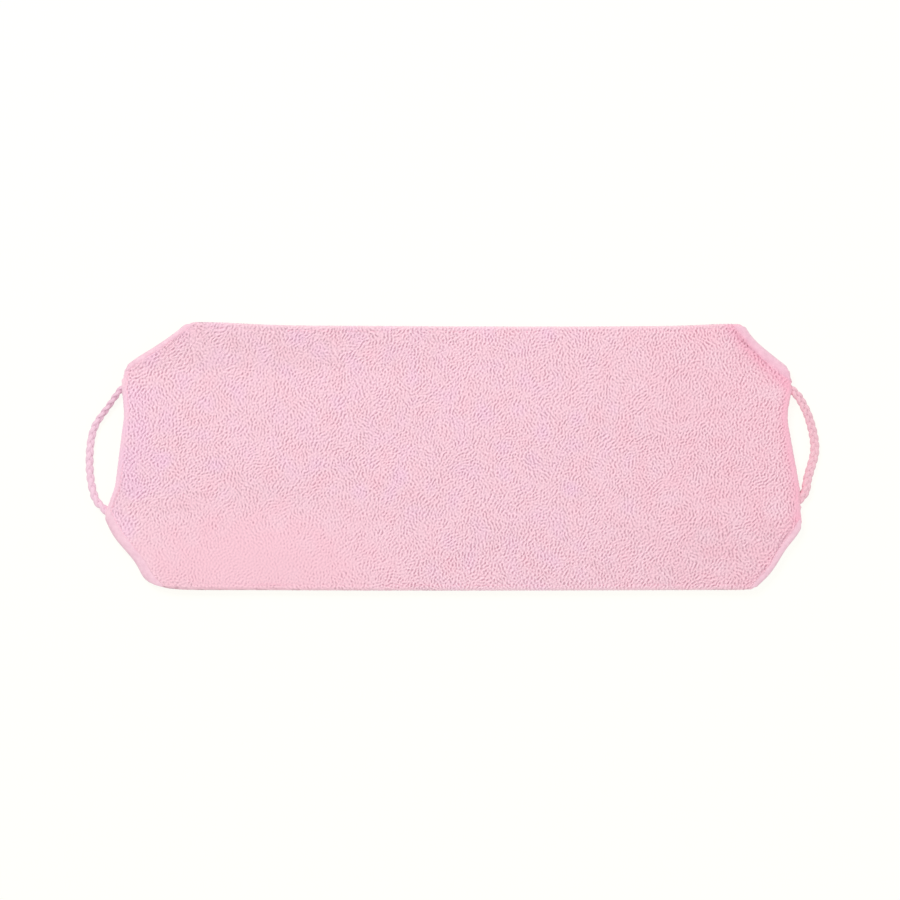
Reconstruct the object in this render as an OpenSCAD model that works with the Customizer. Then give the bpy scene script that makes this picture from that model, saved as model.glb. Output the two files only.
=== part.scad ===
// Back scrubber strap: an eight-sided pad with a terry face and a loofah back,
// and a plaited rope loop sewn into each end. It lies flat, terry side up.
// X runs along the strap, Y across it, and Z up from the surface it lies on.
// The pad folds in half about the cloth line at X = 0, and each rope loop lifts.

/* [Pad] */
// Width across the two long edges
pad_w = 198; // [170:1:220]
// Length of the upper long edge, left of the fold
top_left = 198; // [185:1:205]
// Length of the upper long edge, right of the fold
top_right = 218; // [205:1:225]
// Length of the lower long edge, left of the fold, measured to its square corner
bottom_left = 225; // [215:1:235]
// Length of the lower long edge, right of the fold
bottom_right = 228; // [215:1:235]
// Thickness of the terry cloth with its pile
terry_t = 3; // [2.5:0.1:4]
// Thickness of the pressed loofah
loofah_t = 8; // [7:0.5:10]
// Thickness of plain cloth: the turned hem and the corner tapes
cloth_t = 1.2; // [0.8:0.1:1.4]

/* [Edges] */
// Width of the hem turned onto the back
hem_w = 12; // [8:0.5:16]
// Width of the tape folded over each cut corner
tape_w = 8.5; // [7:0.5:10]
// Distance of the seam from a long edge or an end
seam_in = 4; // [3.6:0.1:5]
// Distance of the seam from a cut corner's edge
tape_seam_in = 7; // [6.2:0.1:7.4]
// Diameter of the sewing thread
thread_d = 0.8; // [0.5:0.1:1]

/* [Rope loops] */
// Diameter of the plaited rope
rope_d = 6.4; // [5:0.2:7]
// Length of rope sewn in behind each exit
tail_l = 26; // [18:1:32]
// Number of thread turns that hold each sewn-in end
tack_turns = 5; // [3:1:7]

/* [Hidden] */

pad_t = terry_t + loofah_t;
half_w = pad_w / 2;
fold_gap = 0.15;           // from the fold line to each half
reach = 400;               // larger than half the strap, for cutting blocks
rope_r = rope_d / 2;
end_gap = 0.3;             // between a sewn-in end and the loop that swings on it
tack_slack = 0.05;         // clearance round the tack threads
tack_thread_d = 0.6;
tack_pitch = 1.3;
tack_in = 10;              // from the loop's pivot to the first tack turn
seam_depth = 1;            // the seam lies this far down in the pile
arc_steps = 4;             // straight steps in each rounded corner
rope_sides = 10;

// Corners of the pad, anticlockwise: x, y, rounding radius, and 1 where a cut
// (a slanted, taped edge) starts. The ends dip in between the two rope exits.
CORNERS = [
    [-bottom_left, -half_w, 20, 0],
    [bottom_right, -half_w, 5, 1],
    [261, -51, 4, 0],
    [261, -24, 30, 0],
    [251, 31, 40, 0],
    [254.5, 50, 6, 0],
    [251.5, 67, 5, 1],
    [top_right, half_w, 4, 0],
    [-top_left, half_w, 5, 1],
    [-245, 68, 5, 0],
    [-248.5, 54, 5, 0],
    [-246.5, 32, 40, 0],
    [-253.5, -22, 40, 0],
    [-261, -44, 4, 1]
];

// Inset from the outer edge and height, up the outside of the terry cover.
COVER_PROFILE = [
    [1.1, 0], [0.3, 0.7], [0, 1.8], [0, pad_t - 2.4],
    [0.3, pad_t - 1.3], [1.1, pad_t - 0.4], [2.4, pad_t]
];

// The rope loops' centre lines, from the upper pivot to the lower one. Each
// leaves the pad at mid height and sinks to the surface that it lies on.
LEFT_ROUTE = [
    [-253, 54, 5.2], [-256, 46.5, 5], [-260, 39.5, 4.5], [-264, 33, 4],
    [-268, 26, 3.6], [-270.5, 18, 3.3], [-271.6, 9, 3.2], [-272, 0, 3.2],
    [-271.6, -9, 3.3], [-270.5, -18, 3.6], [-269, -26, 4], [-267, -34, 4.7],
    [-265, -41, 5.2]
];
RIGHT_ROUTE = [
    [258.5, 53.5, 5.2], [261, 46.5, 5], [264, 40, 4.5], [267, 33.5, 4],
    [269.5, 26, 3.6], [271.3, 18, 3.3], [272, 10, 3.2], [271.8, 2, 3.2],
    [271, -5.5, 3.3], [269.8, -12.5, 3.6], [268.3, -19.5, 4], [266.8, -26, 4.7],
    [265.5, -32, 5.2]
];

// Outline of the pad: insets per edge, then rounded corners.

function turned(v) = [-v.y, v.x];

function at(list, i) = list[(i + len(list)) % len(list)];

function corner_xy(i) = [at(CORNERS, i).x, at(CORNERS, i).y];

function along(i) =
    let (step = corner_xy(i + 1) - corner_xy(i)) step / norm(step);

// Inset of edge i, which starts at corner i: plain edges and cut edges differ.
function inset_of(i, plain, cut) = at(CORNERS, i)[3] == 1 ? cut : plain;

function inset_corner(i, plain, cut) =
    let (
        a = corner_xy(i) + turned(along(i - 1)) * inset_of(i - 1, plain, cut),
        b = corner_xy(i) + turned(along(i)) * inset_of(i, plain, cut),
        step = cross(b - a, along(i)) / cross(along(i - 1), along(i))
    ) a + along(i - 1) * step;

function corner_radius(i, plain, cut) =
    let (
        inset = max(inset_of(i - 1, plain, cut), inset_of(i, plain, cut)),
        convex = cross(along(i - 1), along(i)) > 0
    ) convex ? max(CORNERS[i][2] - inset, 0.6) : CORNERS[i][2] + inset;

function arc_points(p, before, after, r) =
    let (
        a = (before - p) / norm(before - p),
        b = (after - p) / norm(after - p),
        half = acos(a * b) / 2,
        centre = p + (a + b) / norm(a + b) * r / sin(half),
        from = p + a * r / tan(half) - centre,
        to = p + b * r / tan(half) - centre,
        start = atan2(from.y, from.x),
        raw = atan2(to.y, to.x) - start,
        sweep = raw > 180 ? raw - 360 : raw < -180 ? raw + 360 : raw
    ) [
        for (k = [0:arc_steps])
            let (angle = start + sweep * k / arc_steps)
                centre + r * [cos(angle), sin(angle)]
    ];

// The pad's outline, moved in by one distance on plain edges, another on cuts.
function outline(plain, cut) =
    let (n = len(CORNERS), sharp = [for (i = [0:n - 1]) inset_corner(i, plain, cut)])
    [
        for (i = [0:n - 1])
            each arc_points(sharp[i], at(sharp, i - 1), at(sharp, i + 1),
                            corner_radius(i, plain, cut))
    ];

module slab(plain, cut, bottom, top) {
    translate([0, 0, bottom])
        linear_extrude(top - bottom)
            polygon(outline(plain, cut));
}

// Solid between the outlines stacked one above the other in a profile of plain
// insets and heights. Its cut edges stop upright at the tapes.
module stacked(profile) {
    rings = [for (p = profile) outline(p[0], tape_w)];
    n = len(rings[0]);
    last = len(profile) - 1;
    polyhedron(
        points = [
            for (k = [0:last]) for (p = rings[k]) [p.x, p.y, profile[k][1]]
        ],
        faces = concat(
            [[for (i = [0:n - 1]) i]],
            [[for (i = [n - 1:-1:0]) last * n + i]],
            [
                for (k = [0:last - 1]) for (i = [0:n - 1])
                    let (j = (i + 1) % n)
                        [k * n + i, (k + 1) * n + i, (k + 1) * n + j, k * n + j]
            ]
        )
    );
}

// Everything on one side of the fold: side is -1 for left, 1 for right.
module half_space(side) {
    translate([side > 0 ? fold_gap : -reach - fold_gap, -reach, -reach])
        cube([reach, 2 * reach, 2 * reach]);
}

// Everything in one quarter of the strap, where one cut corner lies.
module quarter_space(side, up) {
    translate([side > 0 ? 0 : -reach, up > 0 ? 0 : -reach, -reach])
        cube([reach, reach, 2 * reach]);
}

// Ring round the pad, half_width to each side of the seam's line.
module seam_ring(half_width, bottom, top) {
    difference() {
        slab(seam_in - half_width, tape_seam_in - half_width, bottom, top);
        slab(seam_in + half_width, tape_seam_in + half_width, bottom - 1, top + 1);
    }
}

module seam_groove() {
    seam_ring(thread_d, pad_t - seam_depth, pad_t + 1);
}

// Rope pivots: the route's two ends, and the direction from one into the pad.

function route_of(side) = side < 0 ? LEFT_ROUTE : RIGHT_ROUTE;

function pivot(side, up) =
    up > 0 ? route_of(side)[0] : route_of(side)[len(route_of(side)) - 1];

function inward(side) =
    let (line = pivot(side, 1) - pivot(side, -1))
    -side * [line.y, -line.x, 0] / norm([line.x, line.y]);

// Moves to a rope's pivot, with the Z axis pointing into the pad.
module at_rope_end(side, up) {
    way = inward(side);
    translate(pivot(side, up))
        rotate([0, 90, atan2(way.y, way.x)])
            children();
}

module rope_pocket(side, up) {
    at_rope_end(side, up) {
        cylinder(h = rope_r + end_gap + tail_l, r = rope_r, $fn = 48);
        translate([0, 0, tack_in - tack_thread_d])
            cylinder(
                h = (tack_turns - 1) * tack_pitch + 2 * tack_thread_d,
                r = rope_r + tack_thread_d + 2 * tack_slack,
                $fn = 48
            );
    }
}

module terry_face(side) {
    color("pink")
        intersection() {
            half_space(side);
            difference() {
                union() {
                    stacked(COVER_PROFILE);
                    slab(cloth_t, cloth_t, loofah_t, loofah_t + cloth_t);
                }
                slab(cloth_t, cloth_t, cloth_t, loofah_t);
                slab(hem_w, -1, -1, loofah_t);
                seam_groove();
                rope_pocket(side, 1);
                rope_pocket(side, -1);
            }
        }
}

module loofah(side) {
    color("tan")
        intersection() {
            half_space(side);
            difference() {
                union() {
                    slab(cloth_t, cloth_t, cloth_t, loofah_t);
                    slab(hem_w, tape_w, 0, loofah_t);
                }
                rope_pocket(side, 1);
                rope_pocket(side, -1);
            }
        }
}

// Tape folded over one cut corner, round the terry and the loofah.
module corner_tape(side, up) {
    color("lightpink")
        intersection() {
            quarter_space(side, up);
            difference() {
                slab(0, 0, 0, loofah_t + 2 * cloth_t);
                slab(-1, tape_w, -1, pad_t);
                slab(-1, cloth_t, cloth_t, loofah_t + cloth_t);
                seam_groove();
                rope_pocket(side, up);
            }
        }
}

module stitching(side) {
    color("palevioletred")
        intersection() {
            half_space(side);
            seam_ring(thread_d / 2, pad_t - seam_depth, pad_t - seam_depth + thread_d);
        }
}

// Round tube along a route, domed at both ends about its end points.
module rope_tube(route) {
    n = rope_sides;
    last = len(route) - 1;
    way = [
        for (i = [0:last])
            let (step = route[min(i + 1, last)] - route[max(i - 1, 0)]) step / norm(step)
    ];
    dome = [80, 55, 28];
    rings = concat(
        [for (a = dome) [route[0] - way[0] * rope_r * sin(a), way[0], rope_r * cos(a)]],
        [for (i = [0:last]) [route[i], way[i], rope_r]],
        [
            for (k = [len(dome) - 1:-1:0])
                [
                    route[last] + way[last] * rope_r * sin(dome[k]),
                    way[last],
                    rope_r * cos(dome[k])
                ]
        ]
    );
    end = len(rings) - 1;
    polyhedron(
        points = [
            for (ring = rings)
                let (
                    flat = cross([0, 0, 1], ring[1]),
                    across = flat / norm(flat),
                    up = cross(ring[1], across)
                )
                for (i = [0:n - 1])
                    ring[0] + ring[2] * (cos(360 * i / n) * across + sin(360 * i / n) * up)
        ],
        faces = concat(
            [[for (i = [0:n - 1]) i]],
            [[for (i = [n - 1:-1:0]) end * n + i]],
            [
                for (k = [0:end - 1]) for (i = [0:n - 1])
                    let (j = (i + 1) % n)
                        [k * n + i, (k + 1) * n + i, (k + 1) * n + j, k * n + j]
            ]
        )
    );
}

module rope_loop(side) {
    color("lightpink") rope_tube(route_of(side));
}

// The rope's end inside the pad.
module rope_end(side, up) {
    color("lightpink")
        at_rope_end(side, up)
            translate([0, 0, rope_r + end_gap])
                cylinder(h = tail_l, r = rope_r, $fn = 48);
}

// Turns of thread that hold one rope end.
module tack(side, up) {
    color("palevioletred")
        at_rope_end(side, up)
            for (k = [0:tack_turns - 1])
                translate([0, 0, tack_in + k * tack_pitch])
                    rotate_extrude($fn = 48)
                        translate([rope_r + tack_thread_d / 2 + tack_slack, 0])
                            circle(d = tack_thread_d, $fn = 24);
}

terry_face(-1);  // terry_face_left
terry_face(1);  // terry_face_right
loofah(-1);  // loofah_left
loofah(1);  // loofah_right
corner_tape(-1, 1);  // tape_upper_left
corner_tape(-1, -1);  // tape_lower_left
corner_tape(1, 1);  // tape_upper_right
corner_tape(1, -1);  // tape_lower_right
stitching(-1);  // stitching_left
stitching(1);  // stitching_right
rope_loop(-1);  // rope_loop_left
rope_loop(1);  // rope_loop_right
rope_end(-1, 1);  // rope_end_upper_left
rope_end(-1, -1);  // rope_end_lower_left
rope_end(1, 1);  // rope_end_upper_right
rope_end(1, -1);  // rope_end_lower_right
tack(-1, 1);  // tack_upper_left
tack(-1, -1);  // tack_lower_left
tack(1, 1);  // tack_upper_right
tack(1, -1);  // tack_lower_right
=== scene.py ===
"""Loofah back scrubber: terry face, taped corners, loofah back and two plaited rope loops.

The strap lies on a pale floor, terry side up, and the camera looks straight down at it.
Lengths are in millimetres until a mesh is made, and in metres from there on.
"""

import math

import bpy
import numpy as np
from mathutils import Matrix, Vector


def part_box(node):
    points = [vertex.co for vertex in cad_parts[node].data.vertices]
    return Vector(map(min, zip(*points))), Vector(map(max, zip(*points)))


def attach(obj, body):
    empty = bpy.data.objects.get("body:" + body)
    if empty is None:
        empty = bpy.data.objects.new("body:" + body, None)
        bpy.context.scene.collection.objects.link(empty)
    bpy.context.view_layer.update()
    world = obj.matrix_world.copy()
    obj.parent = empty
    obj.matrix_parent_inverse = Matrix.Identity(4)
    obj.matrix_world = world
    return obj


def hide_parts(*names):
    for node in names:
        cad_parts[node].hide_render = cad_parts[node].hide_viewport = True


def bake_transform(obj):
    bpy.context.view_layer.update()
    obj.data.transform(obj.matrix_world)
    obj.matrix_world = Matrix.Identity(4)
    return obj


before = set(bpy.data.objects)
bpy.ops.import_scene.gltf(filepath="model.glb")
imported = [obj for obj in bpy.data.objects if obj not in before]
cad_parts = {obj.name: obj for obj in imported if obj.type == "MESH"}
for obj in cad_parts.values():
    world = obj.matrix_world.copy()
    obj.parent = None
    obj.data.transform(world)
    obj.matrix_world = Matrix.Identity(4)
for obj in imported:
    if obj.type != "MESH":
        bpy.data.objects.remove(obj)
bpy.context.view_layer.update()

MM = 0.001
PAD_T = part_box("terry_face_left")[1].z / MM
HALF_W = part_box("terry_face_left")[1].y / MM
LOOFAH_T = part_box("loofah_left")[1].z / MM
CLOTH_T = 1.2
HEM_W = 12.0
TAPE_W = 8.5
SEAM_IN = 4.0
TAPE_SEAM_IN = 7.0
EXIT_IN = 4.5  # the rope's pivots lie this far outside the pad's edge

# Corners of the pad, anticlockwise: x, y, rounding radius, and whether a cut edge starts there.
CORNERS = (
    (-225, -HALF_W, 20, False),
    (228, -HALF_W, 5, True),
    (261, -51, 4, False),
    (261, -24, 30, False),
    (251, 31, 40, False),
    (254.5, 50, 6, False),
    (251.5, 67, 5, True),
    (218, HALF_W, 4, False),
    (-198, HALF_W, 5, True),
    (-245, 68, 5, False),
    (-248.5, 54, 5, False),
    (-246.5, 32, 40, False),
    (-253.5, -22, 40, False),
    (-261, -44, 4, True),
)

# Centre lines of the rope loops, from the upper pivot to the lower one.
ROUTES = {
    "left": (
        (-253, 54, 5.2), (-256, 46.5, 5), (-260, 39.5, 4.5), (-264, 33, 4),
        (-268, 26, 3.6), (-270.5, 18, 3.3), (-271.6, 9, 3.2), (-272, 0, 3.2),
        (-271.6, -9, 3.3), (-270.5, -18, 3.6), (-269, -26, 4), (-267, -34, 4.7),
        (-265, -41, 5.2),
    ),
    "right": (
        (258.5, 53.5, 5.2), (261, 46.5, 5), (264, 40, 4.5), (267, 33.5, 4),
        (269.5, 26, 3.6), (271.3, 18, 3.3), (272, 10, 3.2), (271.8, 2, 3.2),
        (271, -5.5, 3.3), (269.8, -12.5, 3.6), (268.3, -19.5, 4), (266.8, -26, 4.7),
        (265.5, -32, 5.2),
    ),
}

# How far the rope leans in towards the pad at the route's points, counted from each pivot.
HUGS = {
    "left": ((2.6, 1.8, 0.9, -0.2, -0.8), (-0.8, -1.7, -1.8, -1.7, -1.4, -1.2)),
    "right": ((0.8, 0.4, 0, 0, -0.3, -0.9), (0.6, 2.0, 1.7, 0.6, -0.9)),
}

# How far each rope comes out beyond its pivot, along the pad's edge.
SLIDES = {"left": (1.6, 2.4), "right": (1.6, 2.6)}

# Each sewn-in rope end, as distances into the pad and along the pad's edge from the pivot.
# Beside each exit this turns the rope on a radius of about one diameter, over a few millimetres.
SEWN_IN = ((29.5, 0), (22, 0), (15, 0), (10, 0.1), (7, 0.8), (4.4, 2.4), (2.4, 5.2))

# Soft pushes on the cloth, which isn't cut quite straight: x, y, reach along x and y, shift.
PUSHES = (
    (-188, 99, 42, 40, 0.0, 2.6),
    (-240, 76, 16, 14, -1.1, 1.0),
    (60, 99, 120, 30, 0.0, -0.8),
    (206, 99, 26, 30, 0.0, 1.4),
    (230, 88, 14, 14, -1.2, -0.8),
    (253, 66, 10, 12, 1.4, 0.3),
    (-250, -56, 16, 18, -2.8, -1.6),
    (259, -58, 12, 13, 2.6, -0.8),
    (240, -82, 22, 18, 2.0, -1.4),
    (0, -99, 240, 30, 0.0, -0.9),
    (-231, -90, 10, 8, -1.6, -0.3),
    (-220, -99, 13, 10, 1.0, 1.3),
    (228, -99, 9, 10, -1.0, 0.9),
    (-201, 99, 7, 6, -1.3, 0.0),
    (218, 99, 7, 6, 1.3, 0.0),
)

# Width of each cut edge's tape on the terry, against TAPE_W, by the edge's first corner.
TAPE_SPANS = {1: 0.7, 6: 1.05, 8: 0.6, 13: 1.05}

# Cut edges with painted rosy shade and creases: first corner, strength of the painted rosy shade, the
# crease's start and end along the cut, its depth.
CUT_MARKS = (
    (1, 0.25, 0.12, 0.9, 0.6),
    (6, 0.9, 0.25, 1.0, 0.75),
    (8, 0.2, 0.12, 0.45, 0.7),
    (13, 0.0, 0.0, 0.1, 0.0),
)


# ---------------------------------------------------------------- mesh helpers


def new_mesh_object(name, points_mm, quads, smooth=True):
    """A mesh object from points in millimetres and an array of quads."""
    points = np.asarray(points_mm, np.float32) * MM
    faces = np.asarray(quads, np.int32)
    mesh = bpy.data.meshes.new(name)
    mesh.vertices.add(len(points))
    mesh.vertices.foreach_set("co", points.ravel())
    mesh.loops.add(faces.size)
    mesh.loops.foreach_set("vertex_index", faces.ravel())
    mesh.polygons.add(len(faces))
    starts = np.arange(len(faces), dtype=np.int32) * faces.shape[1]
    mesh.polygons.foreach_set("loop_start", starts)
    mesh.polygons.foreach_set("use_smooth", np.full(len(faces), smooth))
    mesh.update(calc_edges=True)
    mesh.validate()
    obj = bpy.data.objects.new(name, mesh)
    bpy.context.scene.collection.objects.link(obj)
    return obj


def add_attribute(obj, name, values):
    """A float for each vertex, which the material reads by name."""
    layer = obj.data.attributes.new(name, "FLOAT", "POINT")
    layer.data.foreach_set("value", np.asarray(values, np.float32))


def grid_quads(rows, columns, first=0, wrap=False):
    """Quads of a grid whose points are numbered row by row."""
    across = columns if wrap else columns - 1
    i, j = np.meshgrid(np.arange(rows - 1), np.arange(across), indexing="ij")
    k = (j + 1) % columns
    quads = np.stack(
        [i * columns + j, i * columns + k, (i + 1) * columns + k, (i + 1) * columns + j],
        axis=-1,
    )
    return quads.reshape(-1, 4) + first


def rim_of(rows, columns):
    """Numbers of a grid's border points, anticlockwise."""
    index = np.arange(rows * columns).reshape(rows, columns)
    return np.concatenate([index[0, :-1], index[:-1, -1], index[-1, :0:-1], index[:0:-1, 0]])


def tubes(lines, radii, sides):
    """Points and quads of tubes along lines, shaped (tube, point, 3), with radii for each point."""
    lines = np.asarray(lines, float)
    count, length = lines.shape[:2]
    ahead = np.gradient(lines, axis=1)
    ahead /= np.linalg.norm(ahead, axis=2, keepdims=True)
    side = np.cross(ahead, (0.0, 0.0, 1.0))
    side /= np.linalg.norm(side, axis=2, keepdims=True)
    up = np.cross(side, ahead)
    angle = 2 * math.pi * np.arange(sides) / sides
    radii = np.broadcast_to(radii, (count, length, sides))[..., None]
    turn = np.cos(angle)[:, None] * side[:, :, None] + np.sin(angle)[:, None] * up[:, :, None]
    points = (lines[:, :, None] + radii * turn).reshape(-1, 3)
    one = grid_quads(length, sides, wrap=True)[:, ::-1]
    offsets = np.arange(count)[:, None, None] * (length * sides)
    return points, (one[None] + offsets).reshape(-1, 4)


def smoothstep(x, low, high):
    t = np.clip((x - low) / (high - low), 0, 1)
    return t * t * (3 - 2 * t)


def bell(x, centre, width):
    return np.exp(-(((x - centre) / width) ** 2))


ROUNDING = 4.0  # how far a line's corners are averaged out on each side
ROUNDING_REACH = 10.0  # the furthest that counts in that average


def resampled(line, step):
    """Points a step apart along a line, with the line's corners rounded off."""
    line = np.asarray(line, float)
    along = np.concatenate([[0], np.cumsum(np.linalg.norm(np.diff(line, axis=0), axis=1))])
    count = int(along[-1] / step) + 1
    places = np.linspace(0, along[-1], count)
    dense = np.stack([np.interp(places, along, line[:, i]) for i in range(3)], axis=1)
    reach = int(ROUNDING_REACH / step)
    weights = np.exp(-((np.arange(-reach, reach + 1) * step / ROUNDING) ** 2))
    weights /= weights.sum()
    head = 2 * dense[0] - dense[reach:0:-1]
    tail = 2 * dense[-1] - dense[-2 : -reach - 2 : -1]
    padded = np.vstack([head, dense, tail])
    smooth = [np.convolve(padded[:, i], weights, mode="valid") for i in range(3)]
    return np.stack(smooth, axis=1)


# ---------------------------------------------------------------- outline


def unit(v):
    return v / np.linalg.norm(v)


def cross2(a, b):
    return a[0] * b[1] - a[1] * b[0]


def shifted_corners(plain, cut, spans=None):
    """The pad's sharp corners, moved in by plain on plain edges and by cut times its span on cuts."""
    xy = np.array([c[:2] for c in CORNERS], float)
    n = len(xy)
    along = [unit(xy[(i + 1) % n] - xy[i]) for i in range(n)]
    spans = spans or {}
    inset = [cut * spans.get(i, 1.0) if c[3] else plain for i, c in enumerate(CORNERS)]
    shifted = []
    for i in range(n):
        before, after = along[i - 1], along[i]
        a = xy[i] + inset[i - 1] * np.array([-before[1], before[0]])
        b = xy[i] + inset[i] * np.array([-after[1], after[0]])
        shifted.append(a + before * cross2(b - a, after) / cross2(before, after))
    return shifted, along, inset


def arc(corner, before, after, radius, steps):
    """Points of a rounded corner, in order."""
    a, b = unit(before - corner), unit(after - corner)
    half = math.acos(np.clip(a @ b, -1, 1)) / 2
    centre = corner + unit(a + b) * radius / math.sin(half)
    first = corner + a * radius / math.tan(half) - centre
    last = corner + b * radius / math.tan(half) - centre
    start = math.atan2(first[1], first[0])
    sweep = (math.atan2(last[1], last[0]) - start + math.pi) % (2 * math.pi) - math.pi
    angles = [start + sweep * k / steps for k in range(steps + 1)]
    return [centre + radius * np.array([math.cos(t), math.sin(t)]) for t in angles]


def outline(plain, cut, steps=4, spans=None):
    """The pad's outline with rounded corners, moved in as shifted_corners says."""
    shifted, along, inset = shifted_corners(plain, cut, spans)
    n = len(shifted)
    points = []
    for i in range(n):
        convex = cross2(along[i - 1], along[i]) > 0
        most = max(inset[i - 1], inset[i])
        radius = max(CORNERS[i][2] - most, 0.6) if convex else CORNERS[i][2] + most
        points += arc(shifted[i], shifted[i - 1], shifted[(i + 1) % n], radius, steps)
    return np.array(points)


def span_at(points, y):
    """The outline's lowest and highest x at each height y."""
    low, high = np.full(len(y), np.inf), np.full(len(y), -np.inf)
    for (ax, ay), (bx, by) in zip(points, np.roll(points, -1, axis=0)):
        if abs(by - ay) < 1e-9:
            continue
        t = (y - ay) / (by - ay)
        inside = (t >= -1e-9) & (t <= 1 + 1e-9)
        x = ax + t * (bx - ax)
        low = np.where(inside, np.minimum(low, x), low)
        high = np.where(inside, np.maximum(high, x), high)
    return low, high


def segment_distance(xy, a, b):
    """Distance from points to a straight line between two others."""
    a = np.array(a, float)
    d = np.array(b, float) - a
    t = np.clip(((xy - a) @ d) / (d @ d), 0, 1)
    return np.linalg.norm(xy - a - t[:, None] * d, axis=1)


def edge_ends(i):
    """The sharp corners at the two ends of an edge."""
    return CORNERS[i][:2], CORNERS[(i + 1) % len(CORNERS)][:2]


def edge_distance(xy, want_cut):
    """Distance from points to the nearest cut edge, or to the nearest plain one."""
    wanted = [i for i, corner in enumerate(CORNERS) if corner[3] == want_cut]
    return np.min([segment_distance(xy, *edge_ends(i)) for i in wanted], axis=0)


def outline_distance(xy, points, reach):
    """Distance from points to a closed outline, worked out only where an edge is within reach."""
    distance = np.full(len(xy), np.inf)
    near = np.minimum(edge_distance(xy, False), edge_distance(xy, True)) < reach
    for a, b in zip(points, np.roll(points, -1, axis=0)):
        distance[near] = np.minimum(distance[near], segment_distance(xy[near], a, b))
    return distance


def tape_depth(xy):
    """How far points lie in from the nearest cut edge, as a share of that edge's tape on the terry."""
    spans = TAPE_SPANS.items()
    return np.min([segment_distance(xy, *edge_ends(i)) / (TAPE_W * span) for i, span in spans], axis=0)


def cut_marks(xy):
    """The painted rosy shade and the crease, each 0 to 1, that the taped cut edges give to points of the
    cloth.
    """
    rosy_shade = np.zeros(len(xy))
    crease = np.zeros(len(xy))
    for i, rosy_shade_factor, first, last, depth in CUT_MARKS:
        a, b = edge_ends(i)
        d = np.subtract(b, a)
        t = ((xy - a) @ d) / (d @ d)
        away = segment_distance(xy, a, b)
        inner = TAPE_W * TAPE_SPANS[i]
        rosy_shade += rosy_shade_factor * bell(away, inner, 6.0)
        wander = 0.8 * np.sin(t * 9 + i) + 0.4 * np.sin(t * 31)
        window = smoothstep(t, first - 0.05, first + 0.1) * (1 - smoothstep(t, last - 0.1, last + 0.05))
        crease += depth * window * bell(away, inner - 0.6 + wander, 0.9)
    return rosy_shade, crease


def pushed(points):
    """Points moved by the soft pushes."""
    moved = np.array(points, float)
    for x, y, reach_x, reach_y, dx, dy in PUSHES:
        near = bell(points[:, 0], x, reach_x) * bell(points[:, 1], y, reach_y)
        moved[:, 0] += dx * near
        moved[:, 1] += dy * near
    return moved


# ---------------------------------------------------------------- random fields

FIELD_STEP = 0.5
FIELD_SHAPE = (512, 1152)
WAVES_Y = np.fft.fftfreq(FIELD_SHAPE[0], FIELD_STEP)[:, None]
WAVES_X = np.fft.rfftfreq(FIELD_SHAPE[1], FIELD_STEP)[None, :]


def filtered(seed, weight):
    """A repeating random field with these wave weights, mean 0 and deviation 1."""
    noise = np.random.default_rng(seed).standard_normal(FIELD_SHAPE)
    field = np.fft.irfft2(np.fft.rfft2(noise) * weight, s=FIELD_SHAPE)
    return (field - field.mean()) / field.std()


def swells(seed, wave, band=0.6):
    """Random rises and falls about one wave long."""
    return filtered(seed, np.exp(-(((np.hypot(WAVES_X, WAVES_Y) * wave - 1) / band) ** 2)))


def strokes(seed, wave, lean):
    """Random short strokes about one wave apart, leaning to the right of upright, in degrees."""
    length = np.maximum(np.hypot(WAVES_X, WAVES_Y) * wave, 1e-3)
    turn = np.arctan2(WAVES_Y, WAVES_X) + math.radians(lean)
    turn = (turn + math.pi / 2) % math.pi - math.pi / 2
    spread = math.radians(70)
    return filtered(seed, np.exp(-((np.log(length) / 0.42) ** 2) - (turn / spread) ** 2))


def read(field, x, y):
    """The field's value at points in millimetres."""
    rows, columns = field.shape
    fx, fy = np.asarray(x) / FIELD_STEP, np.asarray(y) / FIELD_STEP
    x0, y0 = np.floor(fx).astype(int), np.floor(fy).astype(int)
    tx, ty = fx - x0, fy - y0
    x0, y0 = x0 % columns, y0 % rows
    x1, y1 = (x0 + 1) % columns, (y0 + 1) % rows
    near = field[y0, x0] * (1 - tx) + field[y0, x1] * tx
    far = field[y1, x0] * (1 - tx) + field[y1, x1] * tx
    return near * (1 - ty) + far * ty


def make_pile_field():
    """Strokes of pile whose lean drifts over the cloth, as heights about 0: narrow gaps, broad loops."""
    lean = 10 + 18 * swells(21, 42)
    total = np.zeros(FIELD_SHAPE)
    power = np.zeros(FIELD_SHAPE)
    for i, centre in enumerate((-48, -24, 0, 24, 48)):
        weight = bell(lean, centre, 18)
        total += weight * strokes(31 + i, 2.5, centre)
        power += weight**2
    height = total / np.sqrt(power)
    height = -np.clip(0.6 - 0.42 * height, 0, 1.6) ** 1.2
    even = 1 - np.exp(-((np.hypot(WAVES_X, WAVES_Y) * 6.5) ** 2))
    height = np.fft.irfft2(np.fft.rfft2(height) * even, s=FIELD_SHAPE)
    return height / height.std()


PILE = make_pile_field()
SWELL = swells(13, 70)
BLOTCH = swells(16, 26)


# ---------------------------------------------------------------- camera and stage


def make_camera():
    """Looks straight down, with +Y up in the picture."""
    width = 0.675
    data = bpy.data.cameras.new("camera")
    data.lens = 100
    data.sensor_width = 36
    camera = bpy.data.objects.new("camera", data)
    height = width / 2 * data.lens / (data.sensor_width / 2)
    camera.location = (-0.0019, 0.0056, height + PAD_T * MM)
    data.clip_start, data.clip_end = 0.05, 20
    bpy.context.scene.collection.objects.link(camera)
    bpy.context.scene.camera = camera


def make_light(name, place, size, power, colour=(1, 1, 1)):
    data = bpy.data.lights.new(name, "AREA")
    data.shape = "DISK"
    data.size = size
    data.energy = power
    data.color = colour
    lamp = bpy.data.objects.new(name, data)
    lamp.location = place
    direction = -lamp.location
    lamp.rotation_euler = direction.to_track_quat("-Z", "Y").to_euler()
    bpy.context.scene.collection.objects.link(lamp)


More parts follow.
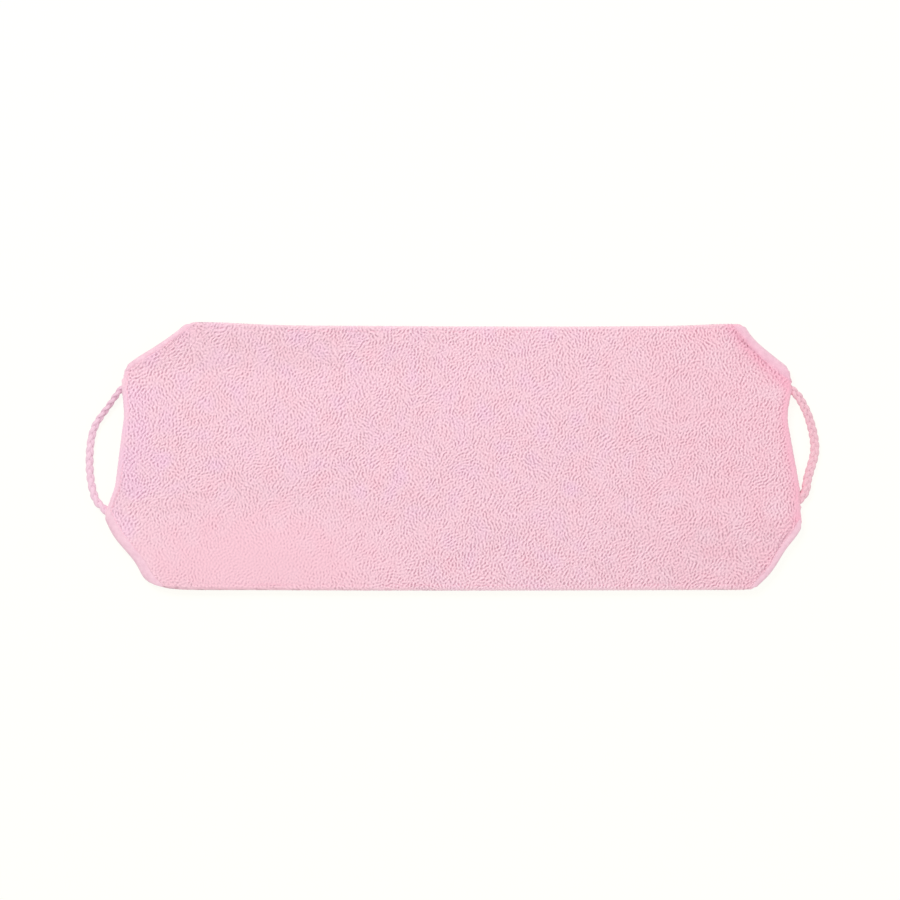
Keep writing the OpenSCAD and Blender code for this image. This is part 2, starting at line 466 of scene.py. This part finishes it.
def make_stage():
    reach, drop = 4000, -0.4
    floor = new_mesh_object(
        "floor",
        [(-reach, -reach, drop), (reach, -reach, drop), (reach, reach, drop), (-reach, reach, drop)],
        [(0, 1, 2, 3)],
    )
    n = Nodes("floor")
    n.set(
        Base_Color=(0.12, 0.12, 0.12, 1), Roughness=0.9,
        Emission_Color=(1, 1, 0.945, 1), Emission_Strength=0.875,
    )
    floor.data.materials.append(n.material)
    world = bpy.data.worlds.new("world")
    world.use_nodes = True
    world.node_tree.nodes["Background"].inputs["Color"].default_value = (1, 1, 1, 1)
    world.node_tree.nodes["Background"].inputs["Strength"].default_value = 0.72
    bpy.context.scene.world = world
    make_light("key", (-0.6, 0.9, 1.6), 0.7, 15)
    make_light("fill", (1.2, -0.3, 1.5), 1.2, 5)
    bpy.context.scene.view_settings.view_transform = "Standard"
    bpy.context.scene.view_settings.look = "None"


# ---------------------------------------------------------------- materials


class Nodes:
    """Short calls for building one material's node tree."""

    def __init__(self, name):
        self.material = bpy.data.materials.new(name)
        self.material.use_nodes = True
        self.tree = self.material.node_tree
        self.shader = self.tree.nodes["Principled BSDF"]

    def add(self, kind, **settings):
        node = self.tree.nodes.new(kind)
        for key, value in settings.items():
            setattr(node, key, value)
        return node

    def link(self, source, target):
        self.tree.links.new(source, target)

    def attribute(self, name):
        return self.add("ShaderNodeAttribute", attribute_name=name).outputs["Fac"]

    def noise(self, scale, detail=3.0, rough=0.5):
        """Noise with this many cells to the metre; scale is one number or three."""
        node = self.add("ShaderNodeTexNoise")
        node.inputs["Scale"].default_value = 1.0
        node.inputs["Detail"].default_value = detail
        node.inputs["Roughness"].default_value = rough
        place = self.add("ShaderNodeMapping")
        sizes = scale if isinstance(scale, tuple) else (scale, scale, scale)
        place.inputs["Scale"].default_value = sizes
        where = self.add("ShaderNodeTexCoord")
        self.link(where.outputs["Object"], place.inputs["Vector"])
        self.link(place.outputs["Vector"], node.inputs["Vector"])
        return node.outputs["Fac"]

    def ramp(self, source, stops):
        node = self.add("ShaderNodeValToRGB")
        elements = node.color_ramp.elements
        while len(elements) < len(stops):
            elements.new(0.5)
        for element, (place, colour) in zip(elements, stops):
            element.position = place
            element.color = (*colour, 1)
        self.link(source, node.inputs["Fac"])
        return node.outputs["Color"]

    def mix(self, factor, a, b, blend="MIX"):
        node = self.add("ShaderNodeMix", data_type="RGBA", blend_type=blend)
        for socket, value in ((node.inputs[0], factor), (node.inputs[6], a), (node.inputs[7], b)):
            if isinstance(value, bpy.types.NodeSocket):
                self.link(value, socket)
            elif isinstance(value, tuple):
                socket.default_value = (*value, 1)
            else:
                socket.default_value = value
        return node.outputs[2]

    def bump(self, height, strength, distance, normal=None):
        node = self.add("ShaderNodeBump")
        node.inputs["Strength"].default_value = strength
        node.inputs["Distance"].default_value = distance
        self.link(height, node.inputs["Height"])
        if normal is not None:
            self.link(normal, node.inputs["Normal"])
        return node.outputs["Normal"]

    def set(self, **values):
        for key, value in values.items():
            socket = self.shader.inputs[key.replace("_", " ")]
            if isinstance(value, bpy.types.NodeSocket):
                self.link(value, socket)
            else:
                socket.default_value = value
        return self.material


def srgb(r, g, b):
    """A colour in 0 to 255 as Blender's linear values."""
    def line(c):
        c /= 255
        return c / 12.92 if c <= 0.04045 else ((c + 0.055) / 1.055) ** 2.4
    return (line(r), line(g), line(b))


ROSY_SHADE_TINT = (1.0, 0.8, 0.88)  # what the painted rosy shade by the tapes' inner edges multiplies the cloth's colour by


def terry_material():
    """Pink looped pile: painted shade between the loops, warmer and cooler in patches."""
    n = Nodes("pink_terry")
    # The pile attribute sets painted light and shade: low values darken the gaps between loops, high
    # ones lighten the loops.
    base = n.ramp(
        n.attribute("pile"),
        [
            (0.0, srgb(203, 159, 173)),
            (0.35, srgb(226, 187, 200)),
            (0.7, srgb(243, 203, 214)),
            (1.0, srgb(251, 214, 225)),
        ],
    )
    zone = n.ramp(
        n.attribute("zone"),
        [(0.0, (0.975, 0.95, 1.03)), (0.45, (0.99, 0.985, 0.985)), (1.0, (1, 0.925, 0.935))],
    )
    # Rosier and darker towards the tapes' inner creases: painted shade.
    rosy_shade_factor = n.mix(n.attribute("rosy_shade"), (1.0, 1.0, 1.0), ROSY_SHADE_TINT)
    colour = n.mix(1.0, n.mix(1.0, base, zone, "MULTIPLY"), rosy_shade_factor, "MULTIPLY")
    normal = n.bump(n.noise(1900.0, 3.0, 0.7), 0.5, 0.0005)
    return n.set(
        Base_Color=colour, Roughness=0.95, Normal=normal,
        Sheen_Weight=0.2, Sheen_Roughness=0.6, Specular_IOR_Level=0.12,
    )


def tape_material():
    """Smooth brushed binding tape with a fine rib."""
    n = Nodes("pink_tape")
    plain = n.ramp(
        n.noise(260.0, 5.0, 0.7), [(0.32, srgb(226, 184, 199)), (0.68, srgb(240, 202, 214))]
    )
    # Rosier and darker towards the tape's inner edges: painted shade.
    rosy_shade_factor = n.mix(n.attribute("rosy_shade"), (1.0, 1.0, 1.0), ROSY_SHADE_TINT)
    colour = n.mix(1.0, plain, rosy_shade_factor, "MULTIPLY")
    weave = n.noise(1500.0, 2.0, 0.6)
    return n.set(
        Base_Color=colour, Roughness=0.85, Normal=n.bump(weave, 0.35, 0.0003),
        Sheen_Weight=0.2, Sheen_Roughness=0.5, Specular_IOR_Level=0.2,
    )


def thread_material():
    n = Nodes("pink_thread")
    colour = n.ramp(
        n.noise(400.0, 2.0), [(0.3, srgb(238, 188, 204)), (0.7, srgb(246, 202, 215))]
    )
    return n.set(
        Base_Color=colour, Roughness=0.6, Normal=n.bump(n.noise(2500.0, 2.0), 0.3, 0.0002),
        Sheen_Weight=0.1, Specular_IOR_Level=0.3,
    )


def rope_material():
    """Soft cotton strands, with painted shade in the grooves between them and between their yarns."""
    n = Nodes("pink_rope")
    groove_shade = n.ramp(
        n.attribute("groove_shade"),
        [
            (0.0, srgb(196, 146, 164)),
            (0.45, srgb(232, 188, 203)),
            (1.0, srgb(248, 208, 220)),
        ],
    )
    tint = n.ramp(n.noise(120.0, 3.0), [(0.35, (0.97, 0.96, 0.97)), (0.65, (1, 1, 1))])
    side = n.mix(n.attribute("warm"), (0.925, 0.955, 0.98), (0.93, 0.87, 0.85))
    colour = n.mix(1.0, n.mix(1.0, groove_shade, tint, "MULTIPLY"), side, "MULTIPLY")
    return n.set(
        Base_Color=colour, Roughness=0.9, Normal=n.bump(n.noise(2200.0, 3.0, 0.7), 0.45, 0.0003),
        Sheen_Weight=0.25, Sheen_Roughness=0.5, Specular_IOR_Level=0.15,
    )


def loofah_material():
    """Dried loofah: pale straw fibres over an open mat coloured darker as painted shade in its depths.
    """
    n = Nodes("loofah_fibre")
    fibre = n.ramp(
        n.attribute("tone"),
        [
            (0.0, srgb(190, 152, 98)),
            (0.5, srgb(219, 188, 136)),
            (1.0, srgb(238, 216, 174)),
        ],
    )
    # The mat's darker colour is painted shade under the fibre net.
    mat = n.ramp(
        n.noise(260.0, 4.0, 0.6), [(0.35, srgb(150, 114, 70)), (0.7, srgb(198, 162, 110))]
    )
    stain = n.ramp(n.noise(24.0, 3.0), [(0.35, (0.9, 0.86, 0.8)), (0.7, (1, 1, 1))])
    colour = n.mix(1.0, n.mix(n.attribute("fibre"), mat, fibre), stain, "MULTIPLY")
    grain = n.noise((600.0, 2400.0, 2400.0), 3.0, 0.6)
    return n.set(
        Base_Color=colour, Roughness=0.72, Normal=n.bump(grain, 0.4, 0.0003),
        Specular_IOR_Level=0.3,
    )


# ---------------------------------------------------------------- rope loops

PLAIT_PITCH = {"left": 20.0, "right": 16.5}
PLAIT_WIDE = {"left": 1.0, "right": 1.45}
PLAIT_DEEP = 0.75
PLAIT_SLIM = {"left": 0.2, "right": 0.06}  # how much thinner the rope is worn below its upper exit
STRAND_R = {"left": 2.0, "right": 2.05}
PLAIT_ROLL = {"left": (44, 16), "right": (6, 12)}  # degrees at the middle, and its drift
PLAIT_LIFT = 0.3  # keeps the plait's turns clear of the floor
SLIDE_SPREAD = 3.6  # a slide fades out over this distance into and out of the pad
EXIT_STEP = 1.5  # each exit lies this far along the edge from its pivot, less its slide


def into_pad(side):
    """The horizontal direction from a side's rope pivots into the pad."""
    line = np.array(ROUTES[side][0], float) - np.array(ROUTES[side][-1], float)
    return (1 if side == "left" else -1) * unit(np.array([line[1], -line[0], 0.0]))


def rope_line(side):
    """Centre line of a rope: one sewn-in end, round the loop, and the other sewn-in end."""
    route = np.array(ROUTES[side], float)
    inward = into_pad(side)
    along = unit((route[-1] - route[0]) * (1, 1, 0))
    above, beneath = SLIDES[side]
    near = [bell(a, EXIT_IN, SLIDE_SPREAD) for a, _ in SEWN_IN]
    upper = [route[0] + inward * a + along * (b - above * n) for (a, b), n in zip(SEWN_IN, near)]
    lower = [route[-1] + inward * a - along * (b - beneath * n) for (a, b), n in zip(SEWN_IN, near)]
    for i, hug in enumerate(HUGS[side][0]):
        route[1 + i] += inward * hug
    for i, hug in enumerate(HUGS[side][1]):
        route[-2 - i] += inward * hug
    line = upper + list(route[1:-1]) + lower[::-1]
    return resampled(np.array(line) + (0, 0, PLAIT_LIFT), 0.45)


def make_rope(side):
    """Three strands plaited together, each with its own twisted yarns."""
    line = rope_line(side)
    steps = np.linalg.norm(np.diff(line, axis=0), axis=1)
    s = np.concatenate([[0], np.cumsum(steps)])
    ahead = np.gradient(line, axis=0)
    ahead /= np.linalg.norm(ahead, axis=1)[:, None]
    across = np.cross(ahead, (0.0, 0.0, 1.0))
    across /= np.linalg.norm(across, axis=1)[:, None]
    up = np.cross(across, ahead)
    middle, drift = PLAIT_ROLL[side]
    roll = np.radians(middle + drift * np.sin(2 * math.pi * s / 95))
    wide = np.cos(roll)[:, None] * across + np.sin(roll)[:, None] * up
    deep = np.cos(roll)[:, None] * up - np.sin(roll)[:, None] * across
    slim = 1 - PLAIT_SLIM[side] * bell(s, 38, 24)
    strands = []
    for k in range(3):
        turn = 2 * math.pi * (s / PLAIT_PITCH[side] + k / 3)
        x = PLAIT_WIDE[side] * slim * np.sin(turn)
        z = PLAIT_DEEP * slim * np.sin(2 * turn)
        strands.append(line + x[:, None] * wide + z[:, None] * deep)
    sides, yarns, twist = 28, 7, 10.0
    angle = 2 * math.pi * np.arange(sides) / sides
    wave = np.cos(yarns * angle[None, :] + 2 * math.pi * yarns * s[:, None] / (twist * yarns / 2))
    radii = STRAND_R[side] * slim[:, None] * (1 + 0.035 * wave)
    ends = np.minimum(s, s[-1] - s)
    radii *= np.sqrt(np.clip(ends / 2.0, 0.02, 1))[:, None]
    points, quads = tubes(np.array(strands), radii[None], sides)
    obj = new_mesh_object(f"rope_{side}", points, quads)
    # Painted shade: lowest where a strand's surface lies near the rope's middle, in the grooves, and
    # between the yarns.
    rings = points.reshape(3, len(s), sides, 3)
    height = np.linalg.norm(rings - line[None, :, None], axis=3)
    open_air = smoothstep(height, 0.85 * STRAND_R[side], 1.4 * STRAND_R[side])
    groove_shade = 0.8 * open_air + 0.2 * (0.5 + 0.5 * wave)[None]
    add_attribute(obj, "groove_shade", groove_shade.ravel())
    add_attribute(obj, "warm", np.full(len(points), float(side == "right")))
    obj.data.materials.append(ROPE_MATERIAL)
    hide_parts(f"rope_loop_{side}", f"rope_end_upper_{side}", f"rope_end_lower_{side}")
    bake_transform(obj)


# ---------------------------------------------------------------- terry face

GRID = 0.5
PILE_DEPTH = 1.1
EDGE_ROUND = 2.6
SMOOTH_END = 235.0  # the plain edges beyond this x are the strap's two ends


def pile_height(x, y):
    """Height of the pile between 0 in a gap and 1 on a loop."""
    quiet = bell(x, -150, 90) * bell(y, -78, 34)
    lively = bell(x, 35, 75) * bell(y, -66, 30)
    soft_corner = bell(x, -240, 28) * bell(y, -82, 30)
    strength = 1 - 0.68 * quiet - 0.28 * soft_corner + 0.15 * lively
    return np.clip(0.6 + 0.37 * strength * read(PILE, x, y), 0, 1)


def zone_tone(x, y):
    """Colour of the cloth between 0, cool, and 1, warm."""
    warm = 0.85 * bell(x, -150, 90) * bell(y, -85, 45) + 0.4 * smoothstep(x, 60, 230)
    cool = 0.4 * smoothstep(-x, 200, 245) * bell(y, 5, 60)
    return np.clip(0.42 + warm - cool + 0.12 * read(BLOTCH, x, y), 0, 1)


def quarter_drop(d, radius):
    """How far a rounded edge lies below the flat, at a distance from the edge."""
    inside = np.clip(radius - d, 0, radius)
    return radius - np.sqrt(np.maximum(radius**2 - inside**2, 0))


def exits(side):
    """Where a side's rope leaves the pad."""
    inward = into_pad(side)
    along = unit((np.array(ROUTES[side][-1]) - np.array(ROUTES[side][0])) * (1, 1, 0))
    above, beneath = SLIDES[side]
    upper = np.array(ROUTES[side][0]) + inward * EXIT_IN + along * (EXIT_STEP - above)
    lower = np.array(ROUTES[side][-1]) + inward * EXIT_IN - along * (EXIT_STEP - beneath)
    return upper, lower


def exit_lip(points):
    """How far the cloth's wall stands out round each rope."""
    push = np.zeros(len(points))
    for side in ROUTES:
        for place in exits(side):
            d = np.linalg.norm(points - place, axis=1)
            push += 0.8 * bell(d, 4.4, 1.2)
    return push


def make_terry():
    points = outline(0, CLOTH_T + 0.4)
    rows = int(2 * HALF_W / GRID)
    columns = int(522 / GRID)
    y = np.linspace(-HALF_W + 0.01, HALF_W - 0.01, rows)
    low, high = span_at(points, y)
    u = np.linspace(0, 1, columns)
    x = low[:, None] + (high - low)[:, None] * u[None, :]
    yy = np.repeat(y[:, None], columns, axis=1)
    xy = np.stack([x.ravel(), yy.ravel()], axis=1)

    plain = edge_distance(xy, False)
    end = np.where(np.abs(xy[:, 0]) > SMOOTH_END, plain, 99.0)
    long_edge = HALF_W - np.abs(xy[:, 1])

    pile = pile_height(xy[:, 0], xy[:, 1])
    under_tape = 1 - smoothstep(tape_depth(xy), 0.6, 0.86)
    hemmed_end = 1 - smoothstep(end, 2.5, 5.5)
    fluff = (1 - under_tape) * (1 - 0.8 * hemmed_end)
    z = PAD_T + 0.3 * read(SWELL, xy[:, 0], xy[:, 1])
    z -= PILE_DEPTH * (1 - pile) * fluff + 0.45 * PILE_DEPTH * (1 - fluff)
    z -= quarter_drop(outline_distance(xy, points, 12.0), EDGE_ROUND)
    z -= (0.3 * bell(long_edge, SEAM_IN, 0.8) + 0.35 * bell(end, SEAM_IN, 0.9)) * (1 - under_tape)
    z -= 1.7 * under_tape * smoothstep(plain, 0, 2.6)
    rosy_shade, crease = cut_marks(xy)
    # The right end's rounded rim also gets the rosy painted shade.
    rosy_shade += 0.7 * bell(end, 2.0, 5.0) * smoothstep(xy[:, 0], 235, 250)
    z -= 0.9 * crease
    surface = [np.column_stack([xy, z])]
    # Colour values for the pile ramp, lower along the creases: painted shade in the folds.
    pile_shading_values = [(pile * fluff + 0.62 * (1 - fluff)) * (1 - 0.8 * crease)]
    # Raised on the rounded plain edges: painted light against their shade.
    pile_shading_values[0] = np.maximum(pile_shading_values[0], 0.9 * bell(plain, 0, 1.8))
    quads = [grid_quads(rows, columns)]

    loop = rim_of(rows, columns)
    rim = surface[0][loop]
    tangent = np.roll(rim[:, :2], -3, axis=0) - np.roll(rim[:, :2], 3, axis=0)
    tangent /= np.linalg.norm(tangent, axis=1)[:, None]
    outward = np.stack([tangent[:, 1], -tangent[:, 0]], axis=1)
    rim_cut = edge_distance(rim[:, :2], True)
    taped = rim_cut < CLOTH_T + 1.2
    hem_lift = 1 - smoothstep(rim_cut, CLOTH_T + 0.4, CLOTH_T + 3.0)
    rings = []
    profile = [(0.0, t) for t in np.linspace(0.08, 0.8, 11)]
    profile += [(-0.25, 0.9), (-0.8, 0.97), (-1.6, 1.0)]
    profile += [(-step, 1.0) for step in np.arange(2.4, HEM_W + 0.1, 0.8)]
    unrolled = 0.0
    for out, share in profile:
        unrolled += 0.75
        read_at = rim[:, :2] + outward * unrolled
        bumps = pile_height(read_at[:, 0], read_at[:, 1])
        on_wall = share < 0.95
        ring_z = rim[:, 2] * (1 - share) + 0.05 * share
        push = np.full(len(rim), out)
        if on_wall:
            push = push + 0.8 * (bumps - 0.6) * np.where(taped, 0, 1)
            push = push + exit_lip(np.column_stack([rim[:, :2], ring_z]))
        else:
            ring_z = ring_z + 0.5 * (1 - bumps) + hem_lift
        ring_xy = rim[:, :2] + outward * push[:, None]
        rings.append(np.column_stack([ring_xy, np.maximum(ring_z, 0.02)]))
        # Untaped walls stay at 0.85 or more: painted light against their shade.
        pile_shading_values.append(np.where(taped, 0.6, np.maximum(bumps, 0.85) if on_wall else bumps))
    first = rows * columns
    surface += rings
    count = len(loop)
    band = grid_quads(len(rings), count, first, wrap=True)[:, ::-1]
    j = np.arange(count)
    k = (j + 1) % count
    joint = np.stack([loop[j], first + j, first + k, loop[k]], axis=1)
    quads += [band, joint]
    everything = np.vstack(surface)
    obj = new_mesh_object("terry_face", pushed(everything), np.vstack(quads))
    add_attribute(obj, "pile", np.concatenate(pile_shading_values))
    add_attribute(obj, "zone", zone_tone(everything[:, 0], everything[:, 1]))
    wall_rosy_shade = np.tile(rosy_shade[loop], len(rings))
    add_attribute(obj, "rosy_shade", np.concatenate([rosy_shade, wall_rosy_shade]))
    obj.data.materials.append(terry_material())
    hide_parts("terry_face_left", "terry_face_right")
    bend_at_fold(obj)
    return obj


def bend_at_fold(obj):
    """Bakes the transform of a piece that crosses the middle of the strap into its mesh; the piece is
    not bent at the fold.
    """
    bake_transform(obj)


# ---------------------------------------------------------------- corner tapes

# Across the tape, from its inner edge on the terry round to its inner edge below: inset, height.
TAPE_PROFILE = (
    (8.2, -2.3), (7.7, -1.4), (7.1, -0.9), (6.4, -0.66), (5.4, -0.52), (4.2, -0.5),
    (2.9, -0.65), (1.8, -1.0), (0.9, -1.8), (0.35, -2.9), (0.1, -4.4), (0.1, -6.2),
    (0.2, -8.2), (0.6, -9.6), (1.5, -10.5), (3.0, -10.85), (6.0, -10.9), (8.2, -10.8), (8.7, -10.2),
)


TAPE_END_ROUND = 3.2  # the tape's ends curve in so that they close on the cloth


def make_tape(name, corner, seed):
    """The binding folded over one cut edge, a little puckered by its stitches."""
    length = np.linalg.norm(np.subtract(CORNERS[(corner + 1) % len(CORNERS)][:2], CORNERS[corner][:2]))
    columns = int(length / 0.7)
    t = np.linspace(0, 1, columns)
    rng = np.random.default_rng(seed)
    pucker = np.zeros(columns)
    ripple = np.zeros(columns)
    for wave in (7.0, 9.5, 13.0, 21.0):
        pucker += rng.uniform(0.5, 1) * np.sin(2 * math.pi * (t * length / wave + rng.random()))
        ripple += rng.uniform(0.5, 1) * np.sin(2 * math.pi * (t * length / (1.7 * wave) + rng.random()))
    rows = []
    rosy_shade = []
    rosy_shade_factor = next(mark[1] for mark in CUT_MARKS if mark[0] == corner)
    rounded = outline(0.35, 0.1)
    for inset, drop in TAPE_PROFILE:
        at_seam = bell(inset, TAPE_SEAM_IN, 0.7)
        if drop > -2.5 and inset > 0.5:
            inset *= TAPE_SPANS[corner]
        shifted, _, _ = shifted_corners(0.35, inset)
        a, b = shifted[corner], shifted[(corner + 1) % len(CORNERS)]
        inward = np.array([-(b - a)[1], (b - a)[0]]) / np.linalg.norm(b - a)
        share = min(inset / TAPE_W, 1)
        xy = a[None, :] * (1 - t[:, None]) + b[None, :] * t[:, None]
        xy = xy + inward[None, :] * (0.28 * share * ripple)[:, None]
        low, high = span_at(rounded, np.clip(xy[:, 1], 0.36 - HALF_W, HALF_W - 0.36))
        xy[:, 0] = np.clip(xy[:, 0], low, high)
        ends = np.minimum(t, 1 - t) * np.linalg.norm(b - a)
        tuck = max(2.4 - inset, 0) * (1 - smoothstep(ends, 0, 1.8))
        xy += inward[None, :] * tuck[:, None]
        z = np.full(columns, PAD_T + drop)
        if drop > -5:
            z += 0.1 * pucker * bell(inset, 5.0, 3.0) - 0.16 * at_seam
            z -= quarter_drop(ends + 0.3, TAPE_END_ROUND)
        else:
            z += 0.5 * quarter_drop(ends + 0.3, TAPE_END_ROUND)
        rows.append(np.column_stack([xy, np.maximum(z, 0.02)]))
        # Painted rosy shade: none at the tape's outer fold and most at its inner edges.
        rosy_shade.append(np.full(columns, rosy_shade_factor * share))
    points = np.vstack(rows)
    quads = grid_quads(len(rows), columns)[:, ::-1]
    obj = new_mesh_object(f"corner_tape_{name}", pushed(points), quads)
    add_attribute(obj, "rosy_shade", np.concatenate(rosy_shade))
    obj.data.materials.append(TAPE_MATERIAL)
    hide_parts(f"tape_{name}")
    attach(obj, "left_half" if name.endswith("left") else "right_half")
    return obj


def make_tapes():
    cuts = [i for i, c in enumerate(CORNERS) if c[3]]
    tapes = []
    for i in cuts:
        x, y = CORNERS[i][:2]
        name = f"{'upper' if y > 0 else 'lower'}_{'left' if x < 0 else 'right'}"
        tapes.append(make_tape(name, i, 40 + i))
    return tapes


# ---------------------------------------------------------------- stitching

STITCH_PITCH = 3.2
STITCH_LENGTH = 2.5
THREAD_R = 0.33


def make_stitching():
    """Separate stitches all round the seam, above and below, half sunk in the cloth."""
    seam = outline(SEAM_IN, TAPE_SEAM_IN, spans=TAPE_SPANS)
    closed = np.vstack([seam, seam[:1]])
    along = np.concatenate([[0], np.cumsum(np.linalg.norm(np.diff(closed, axis=0), axis=1))])
    count = int(along[-1] / STITCH_PITCH)
    middle = along[-1] * (np.arange(count) + 0.5) / count
    offsets = STITCH_LENGTH * np.array([-0.5, -0.42, -0.22, 0, 0.22, 0.42, 0.5])
    places = (middle[:, None] + offsets[None, :]) % along[-1]
    x = np.interp(places, along, closed[:, 0])
    y = np.interp(places, along, closed[:, 1])
    on_tape = edge_distance(np.stack([x[:, 3], y[:, 3]], axis=1), True) < TAPE_W
    dive = np.array([0.7, 0.3, 0.06, 0, 0.06, 0.3, 0.7])
    below = np.where(on_tape, 0.2, 0.3)
    above = np.broadcast_to(PAD_T - 0.9 - dive, x.shape)
    top = np.stack([x, y, above], axis=2)
    bottom = np.stack([x, y, below[:, None] + dive[None, :]], axis=2)
    taper = THREAD_R * np.array([0.1, 0.8, 1, 1, 1, 0.8, 0.1])
    points, quads = tubes(np.vstack([top, bottom]), taper[None, :, None], 8)
    obj = new_mesh_object("stitching", pushed(points), quads)
    obj.data.materials.append(THREAD_MATERIAL)
    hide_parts("stitching_left", "stitching_right")
    bend_at_fold(obj)
    return obj


# ---------------------------------------------------------------- loofah

MAT_GRID = 2.0
MAT_LOW = 1.9


def fibre_lines(rng, count, length, points, heading, spread, curl):
    """Random wavy lines, shaped (fibre, point, 3), with their height in the net still 0 to 1."""
    start_x = rng.uniform(-262, 262, count)
    start_y = rng.uniform(-HALF_W, HALF_W, count)
    size = length * rng.uniform(0.6, 1.25, count)
    step = size / (points - 1)
    turn = np.cumsum(rng.normal(0, curl, (count, points)), axis=1)
    angle = (heading + rng.normal(0, spread, count))[:, None] + turn
    x = start_x[:, None] + np.cumsum(np.cos(angle), axis=1) * step[:, None]
    y = start_y[:, None] + np.cumsum(np.sin(angle), axis=1) * step[:, None]
    wave = 0.5 + 0.5 * np.sin(
        np.arange(points)[None, :] * rng.uniform(0.6, 1.3, count)[:, None]
        + rng.uniform(0, 2 * math.pi, count)[:, None]
    )
    return np.stack([x, y, wave], axis=2)


def make_loofah():
    """A closed fibrous mat with a net of separate fibres over its open side."""
    edge = outline(CLOTH_T + 0.5, CLOTH_T + 0.9)
    rows = int(2 * (HALF_W - CLOTH_T) / MAT_GRID)
    columns = int(520 / MAT_GRID)
    y = np.linspace(edge[:, 1].min() + 0.01, edge[:, 1].max() - 0.01, rows)
    low, high = span_at(edge, y)
    x = low[:, None] + (high - low)[:, None] * np.linspace(0, 1, columns)[None, :]
    yy = np.repeat(y[:, None], columns, axis=1)
    xy = np.stack([x.ravel(), yy.ravel()], axis=1)
    holes = 0.5 * read(swells(51, 7.0), xy[:, 0], xy[:, 1])
    below = np.column_stack([xy, MAT_LOW + 0.35 * holes])
    above = np.column_stack([xy, np.full(len(xy), LOOFAH_T - 0.4)])
    size = rows * columns
    rim = rim_of(rows, columns)
    follow = np.roll(rim, -1)
    wall = np.stack([rim, follow, follow + size, rim + size], axis=1)
    points = [below, above]
    quads = [grid_quads(rows, columns)[:, ::-1], grid_quads(rows, columns, size), wall]
    fibre = [np.zeros(2 * size)]
    tone = [np.zeros(2 * size)]
    rng = np.random.default_rng(52)
    families = (
        # count, length, points, heading, spread, curl, thickness, sides, lowest and highest z
        (430, 110, 22, 0.0, 0.16, 0.10, 0.46, 6, 0.55, 1.5),
        (820, 46, 12, 0.0, 0.75, 0.16, 0.33, 5, 0.5, 1.9),
        (900, 24, 8, 1.2, 0.9, 0.25, 0.22, 5, 0.4, 2.0),
    )
    first = 2 * size
    for count, length, steps, heading, spread, curl, thick, sides, z_low, z_high in families:
        lines = fibre_lines(rng, count, length, steps, heading, spread, curl)
        flat = lines[:, :, :2].reshape(-1, 2)
        top = edge[:, 1].max() - 1.0
        flat[:, 1] = np.clip(flat[:, 1], -top, top)
        left, right = span_at(edge, flat[:, 1])
        flat[:, 0] = np.clip(flat[:, 0], left + 1.0, right - 1.0)
        under_hem = 1 - smoothstep(edge_distance(flat, False), HEM_W - 1, HEM_W + 4)
        under_taped_hem = 1 - smoothstep(edge_distance(flat, True), HEM_W, HEM_W + 5)
        rise = np.maximum(0.9 * under_hem, 2.0 * under_taped_hem)
        z = z_low + (z_high - z_low) * lines[:, :, 2].ravel() + rise
        lines = np.column_stack([flat, z]).reshape(count, steps, 3)
        strides = np.linalg.norm(np.diff(lines[:, :, :2], axis=1), axis=2)
        lines = lines[strides.min(axis=1) > 0.05]  # drops those squeezed flat against a corner
        count = len(lines)
        taper = np.sin(np.linspace(0.12, math.pi - 0.12, steps)) ** 0.35
        radii = thick * rng.uniform(0.7, 1.25, (count, 1, 1)) * taper[None, :, None]
        tube_points, tube_quads = tubes(lines, radii, sides)
        points.append(tube_points)
        quads.append(tube_quads + first)
        first += len(tube_points)
        fibre.append(np.ones(len(tube_points)))
        tone.append(np.repeat(rng.random(count), steps * sides))
    obj = new_mesh_object("loofah_pad", pushed(np.vstack(points)), np.vstack(quads))
    add_attribute(obj, "fibre", np.concatenate(fibre))
    add_attribute(obj, "tone", np.concatenate(tone))
    obj.data.materials.append(loofah_material())
    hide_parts("loofah_left", "loofah_right")
    bend_at_fold(obj)
    return obj


# ---------------------------------------------------------------- the whole strap

make_camera()
make_stage()

ROPE_MATERIAL = rope_material()
TAPE_MATERIAL = tape_material()
THREAD_MATERIAL = thread_material()

for loop_side in ROUTES:
    make_rope(loop_side)
loofah = make_loofah()
terry = make_terry()
tapes = make_tapes()
stitching = make_stitching()

for name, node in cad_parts.items():
    if name.startswith("tack"):
        node.data.materials.clear()
        node.data.materials.append(THREAD_MATERIAL)
